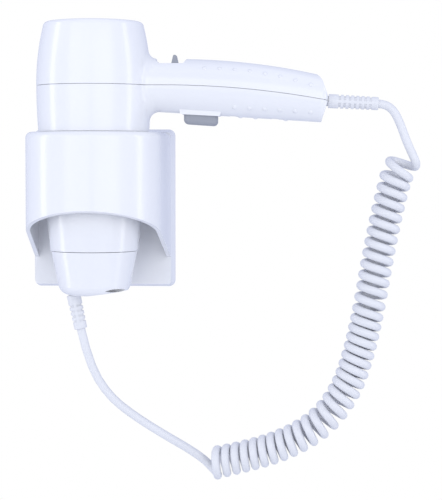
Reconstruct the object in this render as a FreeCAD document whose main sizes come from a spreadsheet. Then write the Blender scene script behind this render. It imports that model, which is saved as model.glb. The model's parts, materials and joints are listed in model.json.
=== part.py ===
"""Hotel hair dryer in its wall holder, in millimetres.

Frame: +Z up, +Y into the wall, +X along the handle. The origin is the middle of the wall-screw
pattern on the holder's back face. The barrel stands on its nozzle, on an axis that runs straight
up at Y = -reach, and the handle points along +X from it.
"""
import FreeCAD, Part
import math
import os
import Sketcher
from FreeCAD import Placement, Rotation, Vector

doc = FreeCAD.newDocument("hair_dryer")
sheet = doc.addObject("Spreadsheet::Sheet", "Sizes")

DRIVING = {
    # wall plate and holder
    "reach": 61.0, "plate_depth": 13.0, "plate_half_width": 53.9, "plate_half_height": 59.5,
    "plate_corner": 5.0, "plate_flare": 10.5, "plate_wall": 2.6,
    "wall_screw_x": 20.0, "wall_screw_z": 38.0, "wall_screw_hole": 2.25,
    "collar_top": 56.5, "collar_wall": 3.0, "collar_root_half": 51.5, "collar_half": 49.0,
    "collar_front": 46.0, "collar_end_radius": 38.0, "collar_edge": 4.3, "collar_front_z": 0.5,
    "collar_plate_z": -36.4, "boss_x": 45.5, "boss_high_z": 44.0, "boss_low_z": -5.0,
    "cup_wall": 2.4, "cup_flange": 42.4, "cup_slope": 0.1062, "cup_joint_r": 31.7,
    "cup_joint_z": -29.0, "cap_top_r": 31.1, "cap_low_r": 25.9, "cap_low_z": -55.0,
    "cap_bottom": -61.2, "cap_flat_r": 17.0, "cap_floor": -55.0,
    "cap_screw_x": -2.0, "cap_screw_y": -14.0, "duct_half": 11.0, "duct_low": -52.0, "duct_high": -33.0, "duct_wall": 2.0,
    # handset
    "wall": 2.4, "barrel_r": 41.2, "barrel_widest_z": 91.0, "shoulder_z": 56.8,
    "barrel_low_arc": 463.0, "barrel_top_arc": 175.0, "crown_z": 132.6,
    "crown_edge": 3.1, "barrel_top": 135.4, "intake_r": 31.5,
    "nozzle_root_r": 35.2, "nozzle_tip_r": 28.6, "nozzle_tip_z": -10.0, "nozzle_wall": 2.1,
    "handle_root": 50.0, "handle_tip": 168.6, "handle_top": 108.9, "handle_top_drop": 13.2,
    "handle_bottom": 70.6, "handle_bottom_drop": 7.6, "handle_half_width": 16.6,
    "handle_narrowing": 2.6, "handle_crown": 12.5, "handle_end_round": 5.5,
    "seam_z": 89.6, "seam_bend_x": 50.0, "seam_radius": 641.0, "seam_gap": 0.35, "root_fillet": 7.0,
    "recess_z": 105.4, "recess_start": 48.0, "recess_end": 66.0,
    "knob_x": 58.9, "trigger_start": 65.6, "trigger_end": 89.8, "trigger_half": 6.0,
    "trigger_low": 60.6,
    # air path
    "duct_outer_r": 35.5, "duct_inner_r": 32.0, "motor_r": 13.0, "motor_low": 79.0,
    "motor_high": 100.0, "shaft_r": 1.0, "hub_r": 11.0, "impeller_low": 104.0,
    "impeller_high": 114.0, "blade_r": 31.2, "sleeve_r": 26.0, "heater_low": 5.0,
    "heater_high": 55.0, "mica_half": 21.6, "mica_thick": 0.8,
    # cord
    "cord_r": 3.05, "coil_r": 11.75, "gland_root_r": 5.0, "gland_end_r": 4.65, "gland_pitch": 3.7,
    "cable_z": 78.5, "lead_exit_x": -15.4,
}


class Size:
    """A length that holds its value and the expression that the document works it out from."""

    def __init__(self, value, text):
        self.value, self.text = value, text

    def __add__(self, other):
        other = as_size(other)
        return Size(self.value + other.value, f"({self.text} + {other.text})")

    def __sub__(self, other):
        other = as_size(other)
        return Size(self.value - other.value, f"({self.text} - {other.text})")

    def __mul__(self, other):
        other = as_size(other)
        return Size(self.value * other.value, f"({self.text} * {other.text})")

    def __truediv__(self, other):
        other = as_size(other)
        return Size(self.value / other.value, f"({self.text} / {other.text})")

    def __radd__(self, other):
        return as_size(other) + self

    def __rsub__(self, other):
        return as_size(other) - self

    def __rmul__(self, other):
        return as_size(other) * self

    def __neg__(self):
        return 0 - self


def as_size(number):
    return number if isinstance(number, Size) else Size(float(number), f"({float(number):.6f})")


def root_of(size):
    return Size(math.sqrt(size.value), f"sqrt({size.text})")


class Sheet:
    """Names the driving dimensions and writes each into its own cell of the spreadsheet."""

    def __init__(self, driving):
        for row, (alias, number) in enumerate(driving.items(), start=1):
            sheet.set(f"A{row}", alias)
            sheet.set(f"B{row}", str(number))
            sheet.setAlias(f"B{row}", alias)
            setattr(self, alias, Size(number, f"Sizes.{alias}"))


S = Sheet(DRIVING)
doc.recompute()
AXIS_Y = -S.reach
PARTS = []


# ---- helpers: bind, place, sketch -------------------------------------------------------------

def bind(thing, name, size):
    """Set a property or a constraint from the spreadsheet."""
    thing.setExpression(name, as_size(size).text)


def place(thing, x=0, y=0, z=0, turn=None):
    if turn is not None:
        thing.Placement = Placement(Vector(), turn)
    for letter, size in zip("xyz", (x, y, z)):
        bind(thing, f"Placement.Base.{letter}", size)
    return thing


def keep(label, thing):
    """Name a finished sub-part and list it for export."""
    thing.Label = label
    PARTS.append(thing)
    return thing


def new(kind, name):
    return doc.addObject(kind, name)


def new_body(name):
    return new("PartDesign::Body", name)


def sketch_on(body, plane, offset=0):
    sketch = body.newObject("Sketcher::SketchObject", body.Name + "_sketch")
    support = next(f for f in body.Origin.OriginFeatures if f.Role == plane)
    sketch.AttachmentSupport = [(support, "")]
    sketch.MapMode = "FlatFace"
    bind(sketch, "AttachmentOffset.Base.z", offset)
    return sketch


def hold_point(sketch, side, end, x, y):
    """Fix one end of a side at a coordinate pair that follows the spreadsheet."""
    for kind, axis, size in (("DistanceX", -2, as_size(x)), ("DistanceY", -1, as_size(y))):
        if abs(size.value) < 1e-9:
            sketch.addConstraint(Sketcher.Constraint("PointOnObject", side, end, axis))
        else:
            index = sketch.addConstraint(Sketcher.Constraint(kind, side, end, size.value))
            bind(sketch, f"Constraints[{index}]", size)


def arc_between(start, finish, radius):
    """Arc from start to finish, its centre on the left of the way if the radius is positive."""
    chord = finish - start
    left = Vector(-chord.y, chord.x, 0).normalize()
    rise = math.sqrt(max(radius * radius - chord.Length ** 2 / 4, 0))
    circle = Part.Circle((start + finish) * 0.5 + left * math.copysign(rise, radius),
                         Vector(0, 0, 1), abs(radius))
    first, last = (start, finish) if radius > 0 else (finish, start)
    return Part.ArcOfCircle(circle, circle.parameter(first), circle.parameter(last))


def draw(sketch, corners):
    """Closed outline through (x, y) corners. A corner with a radius is reached by an arc."""
    corners = [tuple(as_size(c) for c in corner) for corner in corners]
    points = [Vector(c[0].value, c[1].value, 0) for c in corners]
    offset, ends = sketch.GeometryCount, []
    for i, start in enumerate(points):
        after = (i + 1) % len(points)
        if len(corners[after]) == 2:
            sketch.addGeometry(Part.LineSegment(start, points[after]), False)
            ends.append((1, 2))
        else:
            radius = corners[after][2]
            sketch.addGeometry(arc_between(start, points[after], radius.value), False)
            ends.append((1, 2) if radius.value > 0 else (2, 1))
    for i in range(len(points)):
        after = (i + 1) % len(points)
        sketch.addConstraint(Sketcher.Constraint(
            "Coincident", offset + i, ends[i][1], offset + after, ends[after][0]))
        hold_point(sketch, offset + i, ends[i][0], corners[i][0], corners[i][1])
        if len(corners[after]) == 3:
            radius = corners[after][2]
            index = sketch.addConstraint(
                Sketcher.Constraint("Radius", offset + i, abs(radius.value)))
            bind(sketch, f"Constraints[{index}]", radius if radius.value > 0 else -radius)


def draw_circles(sketch, circles):
    for x, y, radius in circles:
        x, y, radius = as_size(x), as_size(y), as_size(radius)
        circle = Part.Circle(Vector(x.value, y.value, 0), Vector(0, 0, 1), radius.value)
        side = sketch.addGeometry(circle, False)
        index = sketch.addConstraint(Sketcher.Constraint("Radius", side, radius.value))
        bind(sketch, f"Constraints[{index}]", radius)
        hold_point(sketch, side, 3, x, y)


def rounded_rectangle(half_x, half_y, radius):
    x, y = as_size(half_x), as_size(half_y)
    return [(x - radius, -y), (x, radius - y, radius), (x, y - radius), (x - radius, y, radius),
            (radius - x, y), (-x, y - radius, radius), (-x, radius - y), (radius - x, -y, radius)]


def feature(body, kind, plane, offset, length, outline=(), circles=(), taper=0, flip=False):
    """Pad or Pocket of one outline, or of circles, along the plane's normal."""
    sketch = sketch_on(body, plane, offset)
    if outline:
        draw(sketch, outline)
    draw_circles(sketch, circles)
    made = body.newObject(f"PartDesign::{kind}", f"{body.Name}_{kind.lower()}")
    made.Profile = sketch
    made.Reversed = flip
    bind(made, "Length", length)
    if taper:
        bind(made, "TaperAngle", taper)
    return made


def turned(name, outline, x=0, y=0, z=0):
    """Body of revolution about its own Z axis, from (radius, height) corners."""
    body = new_body(name)
    sketch = sketch_on(body, "XZ_Plane")
    draw(sketch, outline)
    made = body.newObject("PartDesign::Revolution", name + "_turned")
    made.Profile = sketch
    made.ReferenceAxis = (sketch, ["V_Axis"])
    made.Angle = 360
    return place(body, x, y, z)


def box(name, x0, x1, y0, y1, z0, z1):
    made = new("Part::Box", name)
    for side, low, high in (("Length", x0, x1), ("Width", y0, y1), ("Height", z0, z1)):
        bind(made, side, as_size(high) - low)
    return place(made, x0, y0, z0)


def cylinder(name, x, y, z, radius, height, turn=None, angle=360):
    made = new("Part::Cylinder", name)
    bind(made, "Radius", radius)
    bind(made, "Height", height)
    made.Angle = angle
    return place(made, x, y, z, turn)


def fuse(name, *shapes):
    made = new("Part::MultiFuse", name)
    made.Shapes = list(shapes)
    return made


def common(name, *shapes):
    made = new("Part::MultiCommon", name)
    made.Shapes = list(shapes)
    return made


def group(name, *shapes):
    """Several loose solids of one kind, kept in one node."""
    made = new("Part::Compound", name)
    made.Links = list(shapes)
    return made


def cut(name, base, *tools):
    made = new("Part::Cut", name)
    made.Base = base
    made.Tool = tools[0] if len(tools) == 1 else fuse(name + "_tools", *tools)
    return made


def round_edges(body, edges, radius):
    """Fillet the named edges of a body's last feature."""
    last = body.Tip
    made = body.newObject("PartDesign::Fillet", body.Name + "_round")
    made.Base = (last, edges)
    bind(made, "Radius", radius)


ALONG_X = Rotation(Vector(0, 1, 0), 90)
ALONG_MINUS_Y = Rotation(Vector(1, 0, 0), 90)
ALONG_PLUS_Y = Rotation(Vector(1, 0, 0), -90)


def screw(name, x, y, z, turn, shank_r, shank, head_r, head):
    """Pan-head screw whose shank runs along the turned Z axis from under its head."""
    made = turned(name, [(0, -head), (head_r, -head), (head_r, 0), (shank_r, 0),
                         (shank_r, shank), (0, shank)])
    return place(made, x, y, z, turn)


# ---- wall plate, collar and cup ---------------------------------------------------------------

def wall_plate():
    body = new_body("wall_plate")
    feature(body, "Pad", "XZ_Plane", 0, S.plate_depth, taper=-S.plate_flare,
            outline=rounded_rectangle(S.plate_half_width, S.plate_half_height, S.plate_corner))
    feature(body, "Pocket", "XZ_Plane", 0, S.plate_depth - S.plate_wall, taper=-S.plate_flare,
            flip=True, outline=rounded_rectangle(S.plate_half_width - S.plate_wall,
                                                 S.plate_half_height - S.plate_wall,
                                                 S.plate_corner - 2))
    corners = [(x * S.wall_screw_x, z * S.wall_screw_z) for x in (-1, 1) for z in (-1, 1)]
    feature(body, "Pad", "XZ_Plane", 0, S.plate_depth - 1,
            circles=[(x, z, S.wall_screw_hole + 3.5) for x, z in corners])
    feature(body, "Pocket", "XZ_Plane", -1, S.plate_depth + 2, flip=True,
            circles=[(x, z, S.wall_screw_hole) for x, z in corners])
    feature(body, "Pocket", "XZ_Plane", -1, S.plate_depth + 2, flip=True,
            circles=[(x, z, 1.8) for x, z in cover_screws()] + [(0, lead_in_z(), 4.0)])
    keep("wall_plate", body)


HOLDER_LEAN = 168.0


def axis_of(lean):
    """Direction in the XZ plane, lean degrees from straight up towards +X."""
    return Vector(math.sin(math.radians(lean)), 0, math.cos(math.radians(lean)))


def cover_screws():
    return [(side * S.boss_x, z) for side in (-1, 1) for z in (S.boss_high_z, S.boss_low_z)]


def lead_in_z():
    return (S.duct_low + S.duct_high) / 2


def collar_outline(inset):
    """D outline in plan: flared sides that run tangent into a front of three tangent arcs."""
    small = S.collar_end_radius - inset
    half, bulge = S.collar_half - inset, 43.5 - inset
    side_y = AXIS_Y - S.collar_front + inset + bulge
    reach_x = half - small
    large = (reach_x * reach_x + bulge * bulge - small * small) / (2 * (bulge - small))
    front_x = reach_x * large / (large - small)
    front_y = side_y - small * (large - bulge) / (large - small)
    root_x, root_y = S.collar_root_half - inset, -S.plate_depth
    across, along = root_x - reach_x, root_y - side_y
    span = across * across + along * along
    tangent = root_of(span - small * small)
    side_x = reach_x + small * (small * across + tangent * along) / span
    start_y = side_y + small * (small * along - tangent * across) / span
    return [(-root_x, root_y), (-side_x, start_y), (-front_x, front_y, small),
            (front_x, front_y, large), (side_x, start_y, small), (root_x, root_y)]


def holder_shell():
    low = S.collar_plate_z - 4
    body = new_body("holder_shell")
    under = S.collar_top - S.collar_wall
    feature(body, "Pad", "XY_Plane", low, S.collar_top - low, outline=collar_outline(0))
    doc.recompute()
    edges = [f"Edge{i}" for i, edge in enumerate(body.Shape.Edges, start=1)
             if abs(edge.BoundBox.ZMin - S.collar_top.value) < 0.01
             and abs(edge.BoundBox.ZMax - S.collar_top.value) < 0.01
             and edge.BoundBox.YMin < -S.plate_depth.value - 1]
    round_edges(body, edges, S.collar_edge)
    feature(body, "Pocket", "XY_Plane", low, under - low, flip=True,
            outline=collar_outline(S.collar_wall))
    feature(body, "Pocket", "XY_Plane", S.collar_top + 1, S.collar_wall + 2,
            circles=[(0, AXIS_Y, cup_r(S.collar_top) - S.cup_wall + 0.4)])
    far = -S.reach - S.collar_front - 20
    slope = (S.collar_front_z - S.collar_plate_z) / (S.reach + S.collar_front - S.plate_depth)
    near_z, far_z = S.collar_plate_z - slope * 5, S.collar_front_z + slope * 20
    feature(body, "Pocket", "YZ_Plane", -60, 120, flip=True,
            outline=[(far, low - 5), (-S.plate_depth + 5, low - 5), (-S.plate_depth + 5, near_z),
                     (far, far_z)])
    bosses = [(x, z, 3.4) for x, z in cover_screws()]
    feature(body, "Pad", "XZ_Plane", S.plate_depth, 12, circles=bosses)
    feature(body, "Pocket", "XZ_Plane", S.plate_depth - 1, 12, flip=True,
            circles=[(x, z, 1.6) for x, z, _ in bosses])
    keep("holder_shell", body)


def cup_r(z):
    """Outer radius of the conical cup at a height."""
    return S.cup_joint_r + S.cup_slope * (as_size(z) - S.cup_joint_z)


def nozzle_cup():
    under = S.collar_top - S.collar_wall
    floor_top, floor_under = S.cup_joint_z + 5.0, S.cup_joint_z + 2.6
    shell = turned("cup_cone", [
        (cup_r(under) - S.cup_wall, under), (S.cup_flange, under), (S.cup_flange, under - 2),
        (cup_r(under - 2), under - 2), (S.cup_joint_r, S.cup_joint_z),
        (S.cup_joint_r - S.cup_wall, S.cup_joint_z),
        (cup_r(floor_under) - S.cup_wall, floor_under), (0, floor_under), (0, floor_top),
        (cup_r(floor_top) - S.cup_wall, floor_top)])
    pillar_low = S.cap_floor + 0.2
    pillar = cylinder("cup_pillar", S.cap_screw_x, S.cap_screw_y, pillar_low, 3.6,
                      floor_under + 0.5 - pillar_low)
    bore = cylinder("cup_pillar_bore", S.cap_screw_x, S.cap_screw_y, pillar_low - 1, 1.6, 16)
    made = cut("nozzle_cup", fuse("cup_body", shell, pillar), bore)
    keep("nozzle_cup", place(made, 0, AXIS_Y, 0))


def cup_cap():
    top = S.cup_joint_z - 0.4
    inner_top, inner_low = S.cap_top_r - S.cup_wall, S.cap_low_r - S.cup_wall
    shell = turned("cap_cone", [
        (inner_top, top), (S.cap_top_r, top), (S.cap_low_r, S.cap_low_z),
        (S.cap_flat_r, S.cap_bottom, -9.0), (0, S.cap_bottom), (0, S.cap_floor),
        (inner_low, S.cap_floor)])
    slant = new_body("cap_slant")
    feature(slant, "Pad", "XZ_Plane", -40, 80,
            outline=[(-4, S.cap_bottom), (40, S.cap_bottom + 5.6), (40, S.cap_bottom - 10),
                     (-4, S.cap_bottom - 10)])
    notch = new_body("cap_notch")
    notch_z = S.cap_bottom + 3.8
    feature(notch, "Pad", "XZ_Plane", 9, 30,
            outline=[(10.5, notch_z, 22.0), (24.8, notch_z + 0.6, 22.0)])
    cable = box("cap_cable_way", -S.duct_half + S.duct_wall, S.duct_half - S.duct_wall, 15, 40,
                S.duct_low + S.duct_wall, S.duct_high - S.duct_wall)
    inward = Rotation(Vector(0, 1, 0), HOLDER_LEAN - 180)
    step = axis_of(HOLDER_LEAN - 180)
    gland_way = [cylinder(f"cap_gland_{i}", S.lead_exit_x + step.x * start, 0,
                          S.cap_bottom + step.z * start, radius, length, inward)
                 for i, (start, radius, length) in enumerate((
                     (-3, 5.2, 4.0), (-3, 4.0, 14), (2.5, 5.9, 14)))]
    screw_hole = cylinder("cap_screw_hole", S.cap_screw_x, S.cap_screw_y, S.cap_bottom - 1, 1.7, 10)
    head_hole = cylinder("cap_head_hole", S.cap_screw_x, S.cap_screw_y, S.cap_bottom - 1, 3.1, 4)
    made = cut("cup_cap", shell, slant, notch, cable, screw_hole, head_hole, *gland_way)
    keep("cup_cap", place(made, 0, AXIS_Y, 0))


def cable_duct():
    outer = box("duct_outer", -S.duct_half, S.duct_half, -S.reach + 15, -S.plate_depth,
                S.duct_low, S.duct_high)
    hole = box("duct_hole", -S.duct_half + S.duct_wall, S.duct_half - S.duct_wall,
               -S.reach, 5, S.duct_low + S.duct_wall, S.duct_high - S.duct_wall)
    cone = new("Part::Cone", "duct_seat")
    bind(cone, "Radius1", S.cap_low_r)
    bind(cone, "Radius2", S.cap_top_r)
    bind(cone, "Height", S.cup_joint_z - 0.4 - S.cap_low_z)
    place(cone, 0, AXIS_Y, S.cap_low_z)
    keep("cable_duct", cut("cable_duct", outer, hole, cone))


def holder_fasteners():
    screws = [screw(f"cover_screw_{i}", x, -S.plate_depth + S.plate_wall, z, ALONG_MINUS_Y,
                    1.5, 11, 3.0, 2.0) for i, (x, z) in enumerate(cover_screws())]
    keep("holder_screws", group("holder_screws", *screws))
    block_low = S.duct_low + 6
    base = box("block_base", -6, 16, AXIS_Y - 6, AXIS_Y + 6, block_low, block_low + 9)
    towers = [cylinder(f"block_tower_{i}", -1.5 + 6.5 * i, AXIS_Y, block_low + 8, 2.6, 5)
              for i in range(3)]
    bores = [cylinder(f"block_bore_{i}", -1.5 + 6.5 * i, AXIS_Y, block_low + 6, 1.3, 10)
             for i in range(3)]
    keep("terminal_block", cut("terminal_block", fuse("block_solid", base, *towers), *bores))
    keep("supply_lead", cylinder("supply_lead", 0, 0, lead_in_z(), 3.2, S.reach - 6,
                                 ALONG_MINUS_Y))
    bar = box("clamp_bar_holder", S.lead_exit_x - 5.4, S.lead_exit_x + 7, AXIS_Y - 9,
              AXIS_Y - S.cord_r, S.cap_floor, S.cap_floor + 5)
    keep("cord_clamp_holder", bar)
    keep("cap_screw", screw("cap_screw", S.cap_screw_x, AXIS_Y + S.cap_screw_y,
                            S.cap_bottom + 3.0, Rotation(), 1.5, 13, 2.9, 2.0))


# ---- handset shells ---------------------------------------------------------------------------

def barrel_outline(inset, low, top, top_r):
    """Half profile of the barrel: two arcs that share a vertical tangent at the widest point."""
    widest = S.barrel_r - inset
    low_arc, top_arc = S.barrel_low_arc - inset, S.barrel_top_arc - inset
    below = S.barrel_widest_z - low
    foot_r = widest - low_arc + root_of(low_arc * low_arc - below * below)
    return [(0, low), (foot_r, low), (widest, S.barrel_widest_z, low_arc), (top_r, top, top_arc)]


def crown_radius(inset, z):
    above = z - S.barrel_widest_z
    arc = S.barrel_top_arc - inset
    return S.barrel_r - inset - arc + root_of(arc * arc - above * above)


def barrel_outer():
    top_r = crown_radius(as_size(0), S.crown_z)
    return turned("barrel_outer", barrel_outline(as_size(0), S.shoulder_z, S.crown_z, top_r)
                  + [(top_r - S.crown_edge, S.barrel_top, S.crown_edge + 0.3), (0, S.barrel_top)])


def barrel_inner(inset):
    low, top = S.shoulder_z + S.wall, S.barrel_top - 3
    return turned("barrel_inner", barrel_outline(inset, low, top, crown_radius(inset, top))
                  + [(0, top)])


def oval(half_width, centre, half_height, crown):
    """Four tangent arcs: a tight crown at the top and bottom, flatter cheeks at the sides."""
    lift = half_height - crown
    cheek = (lift * lift + half_width * half_width - crown * crown) / (2 * (half_width - crown))
    x = crown * (cheek - half_width) / (cheek - crown)
    y = lift * cheek / (cheek - crown)
    return [(x, centre - y, crown), (x, centre + y, cheek), (-x, centre + y, crown),
            (-x, centre - y, cheek)]


def handle_section(share, inset):
    """Oval section of the handle, share 0 at its root and 1 at its tip."""
    top = S.handle_top - S.handle_top_drop * share ** 2.2 - inset
    bottom = S.handle_bottom - S.handle_bottom_drop * share + inset
    width = S.handle_half_width - S.handle_narrowing * share ** 2 - inset
    return oval(width, (top + bottom) / 2, (top - bottom) / 2, S.handle_crown - inset)


def handle_solid(inset, end_inset):
    steps = 5
    body = new_body("handle")
    length = S.handle_tip - end_inset - S.handle_root
    sketches = [sketch_on(body, "YZ_Plane", 16)]
    draw(sketches[0], handle_section(0, inset))
    for i in range(steps + 1):
        sketches.append(sketch_on(body, "YZ_Plane", S.handle_root + length * (i / steps)))
        draw(sketches[-1], handle_section(i / steps, inset))
    loft = body.newObject("PartDesign::AdditiveLoft", body.Name + "_loft")
    loft.Profile = sketches[0]
    loft.Sections = sketches[1:]
    return body


def bowed_end(offset):
    """Everything up to the handle's end, which stands out furthest at the seam."""
    body = new_body("bowed_end")
    tip = S.handle_tip - offset
    feature(body, "Pad", "XZ_Plane", -60, 120,
            outline=[(-60, 40), (tip - 7.4, 40), (tip - 7.4, 61.6), (tip - 4.2, 65.2, 4.0),
                     (tip + 0.6, 80.2), (tip - 3.0, 91.0), (tip - 8.6, 98.0, 12.7),
                     (tip - 8.6, 160), (-60, 160)])
    return body


def below_seam(offset):
    """Everything under the seam: level at the barrel, then an arc that droops to the tip."""
    body = new_body("below_seam")
    far, level = 200.0, S.seam_z + offset
    run = far - S.seam_bend_x
    drop = S.seam_radius - root_of(S.seam_radius * S.seam_radius - run * run)
    feature(body, "Pad", "XZ_Plane", -60, 120,
            outline=[(-60, 40), (far, 40), (far, level - drop),
                     (S.seam_bend_x, level, S.seam_radius), (-60, level)])
    return body


def seam_z(x):
    run = as_size(x) - S.seam_bend_x
    return S.seam_z - run * run / (2 * S.seam_radius)


def section_at(x):
    share = (x - S.handle_root.value) / (S.handle_tip.value - S.handle_root.value)
    top = S.handle_top - S.handle_top_drop * share ** 2.2
    bottom = S.handle_bottom - S.handle_bottom_drop * share
    return bottom, top


SHELL_SCREWS_X = (101.0, 131.0)


def handset_blanks():
    """The handset as a full solid, its hollow, and a smaller core that the seam's lip stands on."""
    blank = fuse("handset_blank", barrel_outer(), handle_solid(0, 0))
    doc.recompute()
    rounds = new("Part::Fillet", "handset_outer")
    rounds.Base = blank
    tip = S.handle_tip.value
    rounds.Edges = [
        (i, size.value, size.value)
        for i, edge in enumerate(blank.Shape.Edges, start=1)
        for size, wanted in ((S.root_fillet, is_root_edge(edge)),
                             (S.handle_end_round, edge.BoundBox.XMin > tip - 0.01)) if wanted]
    lip = S.wall + 1.2
    hollow, core = [
        fuse("handset_inside", barrel_inner(inset),
             common("handle_inside", handle_solid(inset, inset), bowed_end(inset)))
        for inset in (S.wall, lip)]
    return common("handset_bowed", rounds, bowed_end(0)), hollow, core


def is_root_edge(edge):
    """True for the edges where the handle leaves the barrel."""
    low, high = S.handle_bottom.value, S.handle_top.value
    extent = edge.BoundBox
    return (25 < extent.XMin and extent.XMax < 45 and low < extent.ZMin
            and extent.ZMax < high + 0.5
            and abs(extent.YMax + extent.YMin) < 2 * S.handle_half_width.value)


def handset_shells():
    outer, hollow, core = handset_blanks()
    walls = cut("handset_walls", outer, hollow)
    gland_way = cylinder("gland_way", S.handle_tip - 12, 0, S.cable_z, 4.0, 20, ALONG_X)
    gland_seat = cylinder("gland_seat", S.handle_tip - 12, 0, S.cable_z, 6.1, 12 - S.wall, ALONG_X)
    lip = common("seam_lip", cut("lip_blank", hollow, core),
                 cut("lip_band", below_seam(1.8), below_seam(-2.5)))

    # lower shell: trigger bezel and opening, nozzle mouth, screw towers from below
    bezel = new_body("bezel")
    feature(bezel, "Pad", "XZ_Plane", -7.9, 15.8,
            outline=[(62.4, 74.0), (62.8, 70.4), (64.6, 69.0, 1.9), (90.2, 67.6), (92.0, 68.6, 1.6),
                     (93.0, 74.0)])
    bezel_ring = cut("bezel_ring", bezel, hollow)
    opening = box("trigger_opening", S.trigger_start - 0.4, S.trigger_end + 0.4,
                  -S.trigger_half - 0.4, S.trigger_half + 0.4, 60, 77)
    mouth = cylinder("nozzle_mouth", 0, 0, S.shoulder_z - 1, S.nozzle_root_r + 0.3, 5)
    towers, heads, bores, high_towers, pilots, screws = [], [], [], [], [], []
    for i, x in enumerate(SHELL_SCREWS_X):
        bottom, top = section_at(x)
        seam = seam_z(x)
        towers.append(cylinder(f"tower_{i}", x, 0, bottom + 1.3, 4.0, seam - 0.2 - bottom - 1.3))
        heads.append(cylinder(f"head_way_{i}", x, 0, bottom - 2, 3.2, 7))
        bores.append(cylinder(f"screw_way_{i}", x, 0, bottom + 4, 1.6, 20))
        high_towers.append(cylinder(f"high_tower_{i}", x, 0, seam + 0.2, 4.0,
                                    top - 1.3 - seam - 0.2))
        pilots.append(cylinder(f"pilot_{i}", x, 0, seam, 1.5, top - 3 - seam))
        screws.append(screw(f"shell_screw_{i}", x, AXIS_Y, bottom + 5.0, Rotation(), 1.4, 22, 2.9, 2))
    lower = fuse("lower_solid", common("lower_wall", walls, below_seam(-S.seam_gap / 2)), lip,
                 bezel_ring, *towers)
    keep("front_shell", place(cut("front_shell", lower, opening, mouth, gland_way, gland_seat,
                                  *heads, *bores), 0, AXIS_Y, 0))

    # upper shell: slider recess with a floor and a slot, intake mouth, blind screw towers
    recess = new_body("recess")
    feature(recess, "Pad", "XZ_Plane", -20, 40,
            outline=[(S.recess_start, S.recess_z), (S.recess_end - 0.6, S.recess_z),
                     (S.recess_end + 1.4, S.recess_z + 3.2), (S.recess_end + 1.6, S.recess_z + 12),
                     (S.recess_start - 3.4, S.recess_z + 12), (S.recess_start - 2.4, S.recess_z + 2)])
    floor = common("recess_floor", outer, box("recess_slab", S.recess_start - 4, S.recess_end + 3.5,
                                              -16, 16, S.recess_z - 2.4, S.recess_z))
    slot = box("knob_slot", S.knob_x - 5.4, S.knob_x + 5.4, -2.2, 2.2, S.recess_z - 4,
               S.recess_z + 2)
    intake = cylinder("intake_mouth", 0, 0, S.barrel_top - 5, S.intake_r, 8)
    upper = fuse("upper_solid", cut("upper_wall", walls, below_seam(S.seam_gap / 2)), floor,
                 *high_towers)
    keep("rear_shell", place(cut("rear_shell", upper, recess, slot, intake, gland_way, gland_seat,
                                 *pilots), 0, AXIS_Y, 0))
    keep("shell_screws", group("shell_screws", *screws))


# ---- air path ---------------------------------------------------------------------------------

def grille(name, radius, low, thick, slot_width, rib, spokes):
    """Round grille: concentric ribs with gaps between them, joined by spokes."""
    disc = cylinder(name + "_disc", 0, 0, low, radius, thick)
    rings = []
    inner = as_size(rib) * 2
    while inner.value + slot_width < as_size(radius).value - 1.2:
        rings.append(cut(f"{name}_gap_{len(rings)}",
                         cylinder(f"{name}_wide", 0, 0, low - 1, inner + slot_width, thick + 2),
                         cylinder(f"{name}_narrow", 0, 0, low - 2, inner, thick + 4)))
        inner = inner + slot_width + rib
    arms = []
    for i in range(spokes):
        arm = box(f"{name}_spoke_{i}", 0, radius - 0.8, -rib / 2, rib / 2, low, thick + low)
        arm.Placement = Placement(Vector(), Rotation(Vector(0, 0, 1), 360 * i / spokes))
        bind(arm, "Placement.Base.z", low)
        bind(arm, "Placement.Base.x", rib / 2 * math.sin(math.radians(360 * i / spokes)))
        bind(arm, "Placement.Base.y", -rib / 2 * math.cos(math.radians(360 * i / spokes)))
        arms.append(arm)
    return fuse(name + "_ribs", cut(name + "_open", disc, *rings), *arms)


def intake_parts():
    low = S.barrel_top - 3.4
    face = grille("intake", S.intake_r - 0.3, low, 2.4, 1.7, 1.5, 12)
    rim = cut("intake_rim", cylinder("intake_flange", 0, 0, low - 1.4, S.intake_r + 1.6, 1.6),
              cylinder("intake_flange_hole", 0, 0, low - 3, S.intake_r - 3, 6))
    keep("intake_grille", place(fuse("intake_grille", face, rim), 0, AXIS_Y, 0))
    keep("air_filter", cylinder("air_filter", 0, AXIS_Y, low - 3.0, S.intake_r + 1.2, 1.2))


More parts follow.
